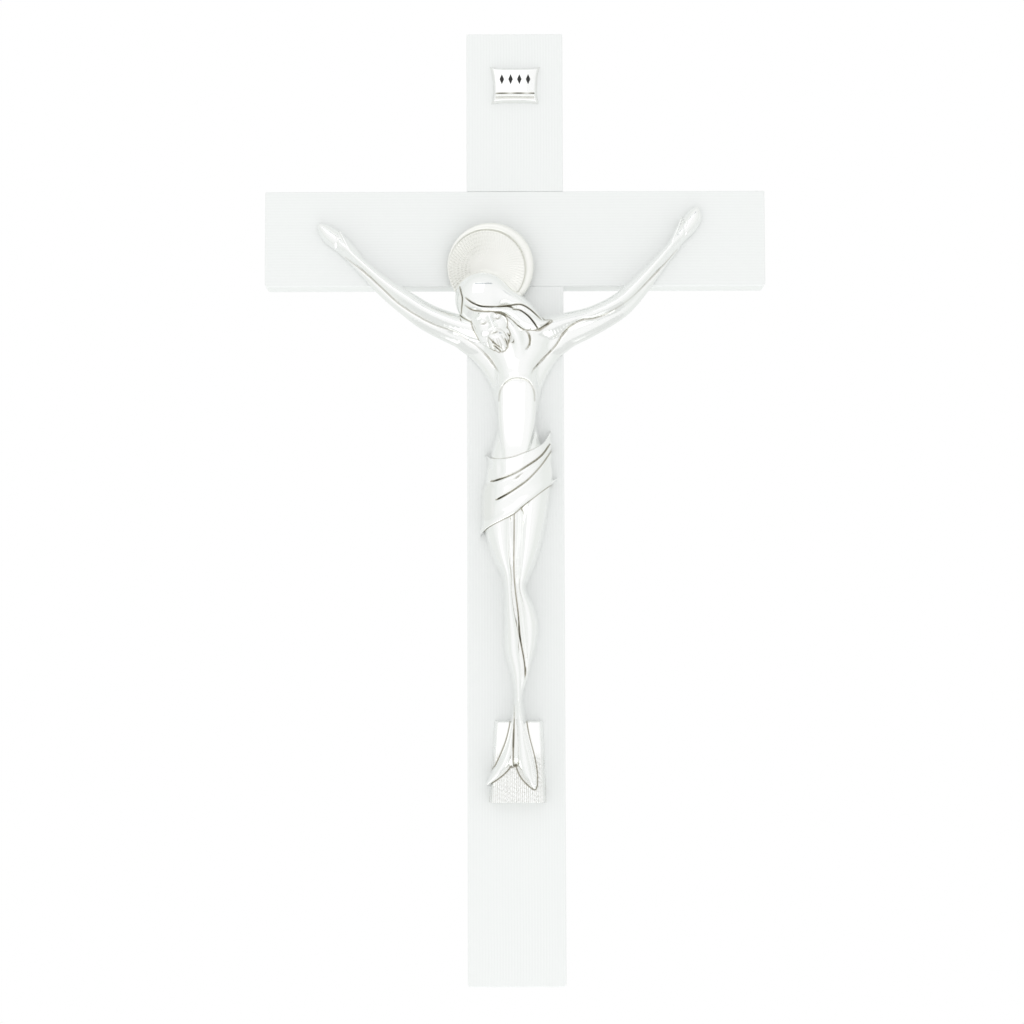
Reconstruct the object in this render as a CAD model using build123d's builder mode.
from build123d import *
import math
import os

os.makedirs("parts", exist_ok=True)

# A wall crucifix. Millimetres. The origin is on the back face, at the centre of the crossing.
# X runs along the crossbar, Z points up, and the front of the cross faces -Y.

# ---- driving dimensions of the wooden cross
HEIGHT = 400.0
SPAN = 211.0
BEAM_WIDTH = 40.7
THICKNESS = 12.0
TOP_ABOVE_CROSSING = 88.0
UPPER_CORNER_RADIUS = 0.6
LOWER_CORNER_RADIUS = 1.5
EDGE_RADIUS = 0.6
LAP_DEPTH = THICKNESS / 2

FRONT = -THICKNESS
TOP = TOP_ABOVE_CROSSING
BOTTOM = TOP_ABOVE_CROSSING - HEIGHT

# ---- half-lap dowels
DOWEL_RADIUS = 2.5
DOWEL_LENGTH = 9.0
DOWEL_SPACING = 22.0

# ---- hanger plate let into the back, and the blind bore behind it for a wall peg
PLATE_WIDTH = 18.0
PLATE_HEIGHT = 44.0
PLATE_THICKNESS = 1.5
PLATE_CENTRE_Z = 61.0
PEG_BORE_RADIUS = 4.5
PEG_BORE_DEPTH = 7.0
HANGER_SCREW_SPACING = 34.0
HANGER_SCREW_LENGTH = 8.0
HANGER_SCREW_RADIUS = 1.25
HANGER_HEAD_RADIUS = 2.5
HANGER_HEAD_DEPTH = 1.2

# ---- screws from the back into the figure and the foot rest
SCREW_RADIUS = 1.4
SCREW_HEAD_RADIUS = 3.0
SCREW_HEAD_DEPTH = 1.8
SCREW_BITE = 4.5
SCREW_X = 1.0
CHEST_SCREW_Z = -56.0
HIP_SCREW_Z = -100.0
FOOT_SCREW_Z = -226.0

# ---- pins
PIN_RADIUS = 0.8
PIN_IN_WOOD = 5.0
PIN_IN_METAL = 3.0
HALO_PIN_IN_METAL = 2.2
TITLE_PIN_IN_WOOD = 4.0
TITLE_PIN_IN_METAL = 0.9

# ---- hands
LEFT_HAND = (-77.0, 2.0)
RIGHT_HAND = (73.5, 6.0)

# ---- halo: a thin dish with a rolled rim, its top leaning out from the wood
HALO_X = -10.3
HALO_Z = -12.7
HALO_RADIUS = 18.1
HALO_LIFT = 2.6
HALO_TILT = 7.0
HALO_DISH = 2.2
HALO_THICKNESS = 1.0
HALO_RIM_RADIUS = 0.9
HALO_BOSS_RADIUS = 2.2
HALO_BOSS_LENGTH = 4.2
HALO_PIN_Z = -6.0

# ---- title plate: a scroll with hollow sides and a rolled foot
TITLE_X = -0.3
TITLE_TOP = 73.7
TITLE_BOTTOM = 57.7
TITLE_WAIST_Z = 64.5
TITLE_TOP_WIDTH = 20.5
TITLE_WAIST_WIDTH = 17.0
TITLE_BOTTOM_WIDTH = 18.5
TITLE_THICKNESS = 1.6
TITLE_ROLL_RADIUS = 1.6
TITLE_ROLL_Z = 60.6
MARK_COUNT = 4
MARK_SPACING = 3.7
MARK_WIDTH = 1.9
MARK_HEIGHT = 4.4
MARK_DEPTH = 0.5
MARK_Z = 68.4

# ---- foot rest: a wedge, thin at the top
REST_TOP = -202.0
REST_BOTTOM = -236.4
REST_X = 0.5
REST_TOP_WIDTH = 18.7
REST_BOTTOM_WIDTH = 23.0
REST_TOP_DEPTH = 3.2
REST_BOTTOM_DEPTH = 9.0
REST_EDGE_RADIUS = 0.5

# ---- fill behind the trunk
BACKING_DEPTH = 5.0
BACKING_WIDTH = 10.0
BACKING_END = 8.0


def d_profile(x, z, width, depth, tangent):
    """A half ellipse standing on the wood: flat at the back, proud by depth, square to the limb."""
    tx, tz = tangent
    section = Plane(origin=(x, FRONT, z), x_dir=(-tz, 0, tx), z_dir=(tx, 0, tz))
    with BuildSketch(section, mode=Mode.PRIVATE) as sketch:
        with BuildLine():
            EllipticalCenterArc((0, 0), width / 2, depth, arc_size=180)
            Line((-width / 2, 0), (width / 2, 0))
        make_face()
    return sketch.sketch


def limb(stations):
    """Lofts half ellipses along stations of (x, z, width, depth)."""
    profiles = []
    last = len(stations) - 1
    for i, (x, z, width, depth) in enumerate(stations):
        before = stations[max(i - 1, 0)]
        after = stations[min(i + 1, last)]
        run = math.hypot(after[0] - before[0], after[1] - before[1])
        tangent = ((after[0] - before[0]) / run, (after[1] - before[1]) / run)
        profiles.append(d_profile(x, z, width, depth, tangent))
    loft(profiles)


def level_limb(stations):
    """The same for the trunk, with every section level."""
    loft([d_profile(x, z, width, depth, (0, -1)) for x, z, width, depth in stations])


def drilled(x, z, radius, start, length, mode=Mode.SUBTRACT):
    """A cylinder along Y from y = start towards the front, over length."""
    with Locations(Location((x, start, z), (90, 0, 0))):
        Cylinder(radius, length, align=(Align.CENTER, Align.CENTER, Align.MIN), mode=mode)


def countersunk(x, z, shank, head, head_depth, length, mode):
    """A countersunk screw, head flush with the back face, pointing to the front."""
    drilled(x, z, shank, 0, length, mode)
    with Locations(Location((x, 0, z), (90, 0, 0))):
        Cone(head, shank, head_depth, align=(Align.CENTER, Align.CENTER, Align.MIN), mode=mode)


def round_beam(beam):
    """Rounds a beam's four corners, the lower ones more, and then its front edges."""
    corners = beam.edges().filter_by(Axis.Y).group_by(Axis.Z)
    fillet(corners[-1], UPPER_CORNER_RADIUS)
    fillet(corners[0], LOWER_CORNER_RADIUS)
    fillet(beam.faces().sort_by(Axis.Y)[0].edges(), EDGE_RADIUS)


# ---- points that several pieces share
DOWELS = [(-DOWEL_SPACING / 2, 0.0), (DOWEL_SPACING / 2, 0.0)]
DOWEL_START = -(THICKNESS - DOWEL_LENGTH) / 2
HANGER_SCREWS = [(0.0, PLATE_CENTRE_Z + side * HANGER_SCREW_SPACING / 2) for side in (1, -1)]
CORPUS_SCREWS = [(SCREW_X, CHEST_SCREW_Z), (SCREW_X, HIP_SCREW_Z), (SCREW_X, FOOT_SCREW_Z)]
SCREW_LENGTH = THICKNESS + SCREW_BITE
HANDS = [LEFT_HAND, RIGHT_HAND]
TITLE_PINS = [(TITLE_X - 6.0, 65.0), (TITLE_X + 6.0, 65.0)]
PIN_START = FRONT + PIN_IN_WOOD
PIN_LENGTH = PIN_IN_WOOD + PIN_IN_METAL
TITLE_PIN_START = FRONT + TITLE_PIN_IN_WOOD
TITLE_PIN_LENGTH = TITLE_PIN_IN_WOOD + TITLE_PIN_IN_METAL

# ---- upright
with BuildPart() as upright:
    with Locations((0, 0, TOP)):
        Box(BEAM_WIDTH, THICKNESS, HEIGHT, align=(Align.CENTER, Align.MAX, Align.MAX))
    round_beam(upright)
    with Locations((0, FRONT, 0)):
        Box(
            2 * BEAM_WIDTH,
            LAP_DEPTH,
            BEAM_WIDTH,
            align=(Align.CENTER, Align.MIN, Align.CENTER),
            mode=Mode.SUBTRACT,
        )
    for x, z in DOWELS:
        drilled(x, z, DOWEL_RADIUS, DOWEL_START, THICKNESS)
    with Locations((0, 0, PLATE_CENTRE_Z)):
        Box(
            PLATE_WIDTH,
            2 * PLATE_THICKNESS,
            PLATE_HEIGHT,
            mode=Mode.SUBTRACT,
        )
    drilled(0, PLATE_CENTRE_Z, PEG_BORE_RADIUS, 0, PEG_BORE_DEPTH)
    for x, z in HANGER_SCREWS:
        drilled(x, z, HANGER_SCREW_RADIUS, 0, HANGER_SCREW_LENGTH)
    for x, z in CORPUS_SCREWS:
        countersunk(x, z, SCREW_RADIUS, SCREW_HEAD_RADIUS, SCREW_HEAD_DEPTH, SCREW_LENGTH, Mode.SUBTRACT)
    for x, z in TITLE_PINS:
        drilled(x, z, PIN_RADIUS, TITLE_PIN_START, TITLE_PIN_IN_WOOD)
upright.part.label = "upright"
export_step(upright.part, "parts/upright.step")

# ---- crossbar
with BuildPart() as crossbar:
    Box(SPAN, THICKNESS, BEAM_WIDTH, align=(Align.CENTER, Align.MAX, Align.CENTER))
    round_beam(crossbar)
    Box(
        BEAM_WIDTH,
        2 * LAP_DEPTH,
        2 * BEAM_WIDTH,
        mode=Mode.SUBTRACT,
    )
    for x, z in DOWELS:
        drilled(x, z, DOWEL_RADIUS, DOWEL_START, DOWEL_LENGTH)
    for x, z in HANDS + [(HALO_X, HALO_PIN_Z)]:
        drilled(x, z, PIN_RADIUS, PIN_START, PIN_IN_WOOD)
crossbar.part.label = "crossbar"
export_step(crossbar.part, "parts/crossbar.step")

# ---- dowels through the half-lap
with BuildPart() as lap_dowels:
    for x, z in DOWELS:
        drilled(x, z, DOWEL_RADIUS, DOWEL_START, DOWEL_LENGTH, Mode.ADD)
lap_dowels.part.label = "lap_dowels"
export_step(lap_dowels.part, "parts/lap_dowels.step")

# ---- hanger plate with its round hole
with BuildPart() as hanger_plate:
    with BuildSketch(Plane.XZ):
        with Locations((0, PLATE_CENTRE_Z)):
            Rectangle(PLATE_WIDTH, PLATE_HEIGHT)
        with Locations((0, PLATE_CENTRE_Z)):
            Circle(PEG_BORE_RADIUS, mode=Mode.SUBTRACT)
    extrude(amount=PLATE_THICKNESS)
    for x, z in HANGER_SCREWS:
        countersunk(
            x,
            z,
            HANGER_SCREW_RADIUS,
            HANGER_HEAD_RADIUS,
            HANGER_HEAD_DEPTH,
            HANGER_SCREW_LENGTH,
            Mode.SUBTRACT,
        )
hanger_plate.part.label = "hanger_plate"
export_step(hanger_plate.part, "parts/hanger_plate.step")

with BuildPart() as hanger_screws:
    for x, z in HANGER_SCREWS:
        countersunk(
            x,
            z,
            HANGER_SCREW_RADIUS,
            HANGER_HEAD_RADIUS,
            HANGER_HEAD_DEPTH,
            HANGER_SCREW_LENGTH,
            Mode.ADD,
        )
hanger_screws.part.label = "hanger_screws"
export_step(hanger_screws.part, "parts/hanger_screws.step")

# ---- figure: each run of stations is (x, z, width, height off the wood)
TRUNK = [
    (0.0, -34.0, 20.0, 9.0),
    (0.5, -42.0, 34.0, 11.5),
    (2.0, -52.0, 30.0, 13.5),
    (1.3, -62.0, 24.5, 13.0),
    (0.2, -75.0, 17.0, 11.5),
    (0.3, -84.0, 19.5, 12.0),
    (0.8, -94.0, 25.0, 13.5),
    (0.5, -112.0, 27.0, 14.0),
    (-1.0, -124.0, 24.0, 13.0),
]
LOINCLOTH = [
    (2.5, -84.0, 21.0, 13.0),
    (0.9, -93.0, 25.5, 14.5),
    (0.5, -103.0, 28.5, 15.0),
    (-0.5, -112.0, 29.0, 15.0),
    (-2.5, -119.0, 24.0, 14.0),
]
LEFT_ARM = [
    (-15.0, -41.5, 15.0, 11.5),
    (-24.0, -36.5, 12.5, 10.5),
    (-36.0, -31.5, 10.0, 9.0),
    (-46.5, -26.5, 9.0, 8.5),
    (-59.5, -15.0, 7.5, 7.5),
    (-69.0, -6.0, 6.0, 6.5),
    (-76.0, 1.0, 9.0, 6.5),
    (-82.8, 7.5, 4.0, 4.5),
]
RIGHT_ARM = [
    (15.0, -40.5, 15.0, 11.5),
    (23.0, -35.8, 12.5, 10.5),
    (34.5, -31.2, 10.0, 9.0),
    (46.2, -24.4, 9.0, 8.5),
    (56.0, -15.0, 7.5, 7.5),
    (66.0, -4.0, 6.0, 6.5),
    (72.5, 4.0, 9.0, 6.5),
    (79.3, 13.7, 4.0, 4.5),
]
REAR_LEG = [
    (6.0, -112.0, 13.0, 13.0),
    (4.5, -127.5, 11.5, 13.5),
    (2.2, -145.0, 7.0, 13.5),
    (5.0, -164.0, 7.5, 10.0),
    (3.5, -180.0, 6.5, 8.0),
    (-0.5, -196.0, 6.0, 8.0),
    (-4.5, -210.0, 8.0, 9.8),
    (-8.5, -221.0, 6.5, 10.4),
    (-11.2, -228.5, 2.5, 10.0),
]
FRONT_LEG = [
    (-8.0, -112.0, 13.0, 13.0),
    (-6.5, -127.5, 12.0, 14.0),
    (-2.8, -146.0, 7.0, 15.5),
    (-2.0, -164.0, 7.5, 12.5),
    (1.5, -180.0, 7.0, 11.0),
    (4.5, -196.0, 6.5, 11.0),
    (5.5, -210.0, 8.5, 12.5),
    (6.8, -221.0, 7.0, 12.8),
    (7.4, -230.0, 2.5, 11.0),
]
NECK = [
    (0.0, -44.0, 17.0, 12.5),
    (-4.0, -36.0, 15.0, 15.0),
    (-7.5, -28.0, 14.0, 14.0),
]
HEAD_CENTRE = (-10.8, -21.5, -29.5)
HEAD_RADIUS = 10.5
HEAD_HALF_LENGTH = 15.5
HEAD_LEAN = -13.0
HAIR_LOCK_CENTRE = (5.0, -18.0, -32.0)
HAIR_LOCK_RADIUS = 4.5
HAIR_LOCK_HALF_LENGTH = 10.5
HAIR_LOCK_LEAN = 112.0


def backing_block(mode):
    """The fill behind the trunk, from above the chest screw to below the hip screw."""
    with BuildSketch(Plane.XZ.offset(THICKNESS), mode=Mode.PRIVATE) as outline:
        with Locations((SCREW_X, (CHEST_SCREW_Z + HIP_SCREW_Z) / 2)):
            SlotOverall(CHEST_SCREW_Z - HIP_SCREW_Z + 2 * BACKING_END, BACKING_WIDTH, rotation=90)
    extrude(outline.sketch, amount=BACKING_DEPTH, mode=mode)


def title_marks_shape(mode):
    """A row of plain lozenges in the title plate's front."""
    marks_floor = Plane.XZ.offset(THICKNESS + TITLE_THICKNESS - MARK_DEPTH)
    with BuildSketch(marks_floor, mode=Mode.PRIVATE) as marks:
        with Locations((TITLE_X, MARK_Z)):
            with GridLocations(MARK_SPACING, 1, MARK_COUNT, 1):
                Polygon(
                    (-MARK_WIDTH / 2, 0),
                    (0, -MARK_HEIGHT / 2),
                    (MARK_WIDTH / 2, 0),
                    (0, MARK_HEIGHT / 2),
                )
    extrude(marks.sketch, amount=MARK_DEPTH, mode=mode)


def spheroid(centre, radius, half_length, lean):
    """An ellipse turned about its long axis, which leans from upright towards +X."""
    long_axis = Vector(math.sin(math.radians(lean)), 0, math.cos(math.radians(lean)))
    section = Plane(origin=centre, x_dir=(0, -1, 0), z_dir=Vector(0, -1, 0).cross(long_axis))
    with BuildSketch(section, mode=Mode.PRIVATE) as half:
        with BuildLine():
            EllipticalCenterArc((0, 0), radius, half_length, start_angle=-90, arc_size=180)
            Line((0, half_length), (0, -half_length))
        make_face()
    revolve(half.sketch, axis=Axis(centre, long_axis))


# ---- halo
HALO_AXIS = Vector(0, -math.cos(math.radians(HALO_TILT)), -math.sin(math.radians(HALO_TILT)))
HALO_CENTRE = Vector(HALO_X, FRONT - HALO_LIFT, HALO_Z)
HALO_SECTION = Plane(origin=HALO_CENTRE, x_dir=(1, 0, 0), z_dir=Vector(1, 0, 0).cross(HALO_AXIS))
RIM_RING = HALO_RADIUS - HALO_RIM_RADIUS
BOWL_RADIUS = (RIM_RING**2 + HALO_DISH**2) / (2 * HALO_DISH)
BOWL_SWEEP = math.degrees(math.asin(RIM_RING / BOWL_RADIUS))
with BuildPart() as halo:
    with BuildSketch(HALO_SECTION):
        with BuildLine():
            back = CenterArc((0, BOWL_RADIUS), BOWL_RADIUS, -90, BOWL_SWEEP)
            front = CenterArc((0, BOWL_RADIUS), BOWL_RADIUS - HALO_THICKNESS, -90, BOWL_SWEEP)
            Line(back @ 0, front @ 0)
            Line(back @ 1, front @ 1)
        make_face()
        with Locations((back @ 1 + front @ 1) / 2):
            Circle(HALO_RIM_RADIUS)
    revolve(axis=Axis(HALO_CENTRE, HALO_AXIS))
    drilled(HALO_X, HALO_PIN_Z, HALO_BOSS_RADIUS, FRONT, HALO_BOSS_LENGTH, Mode.ADD)
    drilled(HALO_X, HALO_PIN_Z, PIN_RADIUS, FRONT, HALO_PIN_IN_METAL)
halo.part.label = "halo"
export_step(halo.part, "parts/halo.step")

# ---- pin that carries the halo
with BuildPart() as halo_pin:
    drilled(HALO_X, HALO_PIN_Z, PIN_RADIUS, PIN_START, PIN_IN_WOOD + HALO_PIN_IN_METAL, Mode.ADD)
halo_pin.part.label = "halo_pin"
export_step(halo_pin.part, "parts/halo_pin.step")

# ---- foot rest
with BuildPart() as foot_rest:
    for z, width, depth in (
        (REST_TOP, REST_TOP_WIDTH, REST_TOP_DEPTH),
        (REST_BOTTOM, REST_BOTTOM_WIDTH, REST_BOTTOM_DEPTH),
    ):
        with BuildSketch(Plane.XY.offset(z)):
            with Locations((REST_X, FRONT - depth / 2)):
                Rectangle(width, depth)
    loft()
    fillet(foot_rest.edges().group_by(Axis.Y)[0], REST_EDGE_RADIUS)
    drilled(SCREW_X, FOOT_SCREW_Z, SCREW_RADIUS, FRONT, SCREW_BITE)
foot_rest.part.label = "foot_rest"
export_step(foot_rest.part, "parts/foot_rest.step")

with BuildPart() as corpus:
    level_limb(TRUNK)
    level_limb(LOINCLOTH)
    for stations in (LEFT_ARM, RIGHT_ARM, REAR_LEG, FRONT_LEG, NECK):
        limb(stations)
    spheroid(HEAD_CENTRE, HEAD_RADIUS, HEAD_HALF_LENGTH, HEAD_LEAN)
    spheroid(HAIR_LOCK_CENTRE, HAIR_LOCK_RADIUS, HAIR_LOCK_HALF_LENGTH, HAIR_LOCK_LEAN)
    with Locations((0, FRONT, 0)):
        Box(
            SPAN,
            THICKNESS,
            HEIGHT,
            align=(Align.CENTER, Align.MIN, Align.CENTER),
            mode=Mode.SUBTRACT,
        )
    add(halo.part, mode=Mode.SUBTRACT)
    add(foot_rest.part, mode=Mode.SUBTRACT)
    backing_block(Mode.SUBTRACT)
    for x, z in HANDS:
        drilled(x, z, PIN_RADIUS, FRONT, PIN_IN_METAL)
corpus.part.label = "corpus"
export_step(corpus.part, "parts/corpus.step")

# ---- fill that closes the back of the trunk
with BuildPart() as corpus_backing:
    backing_block(Mode.ADD)
    for x, z in CORPUS_SCREWS[:2]:
        drilled(x, z, SCREW_RADIUS, 0, SCREW_LENGTH)
corpus_backing.part.label = "corpus_backing"
export_step(corpus_backing.part, "parts/corpus_backing.step")

# ---- screws from the back, two into the figure and one into the foot rest
with BuildPart() as corpus_screws:
    for x, z in CORPUS_SCREWS:
        countersunk(x, z, SCREW_RADIUS, SCREW_HEAD_RADIUS, SCREW_HEAD_DEPTH, SCREW_LENGTH, Mode.ADD)
corpus_screws.part.label = "corpus_screws"
export_step(corpus_screws.part, "parts/corpus_screws.step")

# ---- pins that seat the hands
with BuildPart() as hand_pins:
    for x, z in HANDS:
        drilled(x, z, PIN_RADIUS, PIN_START, PIN_LENGTH, Mode.ADD)
hand_pins.part.label = "hand_pins"
export_step(hand_pins.part, "parts/hand_pins.step")


# ---- title plate
with BuildPart() as title_plate:
    with BuildSketch(Plane.XZ.offset(THICKNESS)):
        with BuildLine():
            for side in (-1, 1):
                ThreePointArc(
                    (TITLE_X + side * TITLE_TOP_WIDTH / 2, TITLE_TOP),
                    (TITLE_X + side * TITLE_WAIST_WIDTH / 2, TITLE_WAIST_Z),
                    (TITLE_X + side * TITLE_BOTTOM_WIDTH / 2, TITLE_BOTTOM),
                )
            for z, width in ((TITLE_TOP, TITLE_TOP_WIDTH), (TITLE_BOTTOM, TITLE_BOTTOM_WIDTH)):
                Line((TITLE_X - width / 2, z), (TITLE_X + width / 2, z))
        make_face()
    extrude(amount=TITLE_THICKNESS)
    with Locations(Location((TITLE_X, FRONT - TITLE_THICKNESS, TITLE_ROLL_Z), (0, 90, 0))):
        Cylinder(TITLE_ROLL_RADIUS, TITLE_WAIST_WIDTH)
    title_marks_shape(Mode.SUBTRACT)
    for x, z in TITLE_PINS:
        drilled(x, z, PIN_RADIUS, FRONT, TITLE_PIN_IN_METAL)
title_plate.part.label = "title_plate"
export_step(title_plate.part, "parts/title_plate.step")

# ---- dark filling of the plate's marks
with BuildPart() as title_marks:
    title_marks_shape(Mode.ADD)
title_marks.part.label = "title_marks"
export_step(title_marks.part, "parts/title_marks.step")

# ---- pins that hold the title plate
with BuildPart() as title_pins:
    for x, z in TITLE_PINS:
        drilled(x, z, PIN_RADIUS, TITLE_PIN_START, TITLE_PIN_LENGTH, Mode.ADD)
title_pins.part.label = "title_pins"
export_step(title_pins.part, "parts/title_pins.step")
